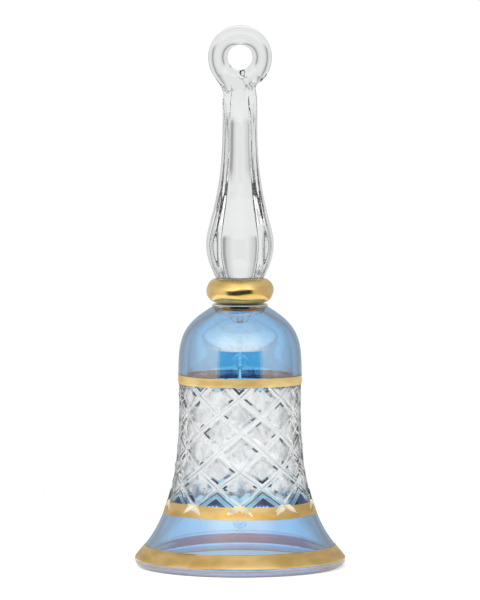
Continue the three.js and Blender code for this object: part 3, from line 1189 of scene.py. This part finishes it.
# What shows through the glass: the same shades every 45 degrees.
SHADE_PERIOD = 22.5                  # half of it, because each shade is mirrored
SHADE_SIDE = (7, 21)
SLOT_SIDE = (18.0, 20.5)
SHADES_FOOT = (-14, -9)
ZENITH = (48, 62)


def floor():
    shape = bmesh.new()
    bmesh.ops.create_circle(shape, cap_ends=True, radius=FLOOR_RADIUS, segments=96)
    ground = from_bmesh("floor", shape)
    ground.data.materials.append(floor_white())
    ground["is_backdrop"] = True


def edge(n, angle, limits):
    return n.between(angle, math.radians(limits[0]), math.radians(limits[1]))


def darkened(n, level, where, share):
    """A level, made darker by a share where the mask is 1."""
    return n.maths("MULTIPLY", level, n.maths("SUBTRACT", 1.0, n.maths("MULTIPLY", where, share)))


def tent_level(n, x, azimuth, height):
    """The brightness of what the bell mirrors: a white tent with a dark opening in front, grey
    posts beside it and a bright lintel over it."""
    opening = n.maths("MULTIPLY", edge(n, azimuth, OPENING_SIDE), edge(n, height, OPENING_TOP))
    posts = n.maths("MULTIPLY", edge(n, azimuth, POST_OUTER), edge(n, azimuth, POST_INNER))
    posts = n.maths("MULTIPLY", posts, edge(n, height, POST_TOP))
    lintel = n.maths("MULTIPLY", edge(n, height, LINTEL_FOOT), edge(n, height, LINTEL_TOP))
    lintel = n.maths("MULTIPLY", edge(n, azimuth, LINTEL_SIDE), lintel)
    left = n.between(x, 0.3, -0.9)
    level = n.maths("ADD", 0.8, n.maths("MULTIPLY", left, 0.1))
    level = n.maths("SUBTRACT", level, n.maths("MULTIPLY", edge(n, azimuth, BACK_WALL), 0.2))
    level = darkened(n, level, posts, 0.5)
    level = n.maths("ADD", level, n.maths("MULTIPLY", lintel, 0.85))
    return darkened(n, level, opening, 0.97)


def through_level(n, azimuth, height):
    """The brightness of what shows through the glass: white, with shades and slots that draw the
    edges of clear glass."""
    repeated = n.maths("PINGPONG", azimuth, math.radians(SHADE_PERIOD))
    shade = n.maths("MULTIPLY", edge(n, repeated, SHADE_SIDE), 0.3)
    slot = n.maths("MULTIPLY", edge(n, repeated, SLOT_SIDE), 0.3)
    level = darkened(n, 1.0, n.maths("ADD", shade, slot), edge(n, height, SHADES_FOOT))
    return darkened(n, level, edge(n, height, ZENITH), 0.5)


def world():
    """Surroundings that differ by how they are seen: white straight on, the tent in reflections,
    and the shades through glass."""
    scene = bpy.context.scene
    scene.world = bpy.data.worlds.new("tent")
    scene.world.use_nodes = True
    scene.world.node_tree.nodes.clear()
    n = Nodes(scene.world.node_tree)
    way = n.add("ShaderNodeTexCoord").outputs["Generated"]
    x, y, z = n.add("ShaderNodeSeparateXYZ", {0: way}).outputs
    azimuth = n.maths("ABSOLUTE", n.maths("ARCTAN2", x, n.maths("MULTIPLY", y, -1.0)))
    height = n.maths("ARCSINE", z)
    tent = tent_level(n, x, azimuth, height)
    through = through_level(n, azimuth, height)
    path = n.add("ShaderNodeLightPath")
    seen = path.outputs["Is Camera Ray"]
    passed = path.outputs["Is Transmission Ray"]
    level = n.add("ShaderNodeMix", {"Factor": passed, "A": tent, "B": through}).outputs["Result"]
    level = n.add("ShaderNodeMix", {"Factor": seen, "A": level, "B": 1.0}).outputs["Result"]
    colour = n.add("ShaderNodeCombineXYZ", {0: level, 1: level, 2: level})
    background = n.add("ShaderNodeBackground", {"Color": colour.outputs[0], "Strength": 1.0})
    output = n.add("ShaderNodeOutputWorld")
    n.tree.links.new(background.outputs[0], output.inputs["Surface"])


def softbox():
    light = bpy.data.lights.new("softbox", "AREA")
    light.shape = "RECTANGLE"
    light.size, light.size_y = 0.5, 0.5
    light.energy = 2.0
    lamp = bpy.data.objects.new("softbox", light)
    lamp.location = (-0.35, -0.25, 0.75)
    lamp.rotation_euler = (Vector((0, 0, 0.06)) - lamp.location).to_track_quat("-Z", "Y").to_euler()
    lamp.visible_camera = False
    lamp.visible_transmission = False
    lamp.visible_glossy = False
    bpy.context.scene.collection.objects.link(lamp)


def camera():
    low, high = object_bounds()
    target = Vector((0, 0, low.z + (high.z - low.z) * 0.493))
    distance = 1.4
    pitch = math.radians(4.3)
    seen_height = 0.150
    data = bpy.data.cameras.new("camera")
    data.lens = 36.0 * distance / seen_height
    data.sensor_width = 36.0
    data.clip_start = 0.05
    view = bpy.data.objects.new("camera", data)
    view.location = target + Vector((0, -math.cos(pitch), math.sin(pitch))) * distance
    view.rotation_euler = (target - view.location).to_track_quat("-Z", "Y").to_euler()
    bpy.context.scene.collection.objects.link(view)
    bpy.context.scene.camera = view


floor()
world()
softbox()
camera()
scene = bpy.context.scene
scene.view_settings.view_transform = "Standard"
scene.cycles.max_bounces = 32
scene.cycles.transmission_bounces = 32
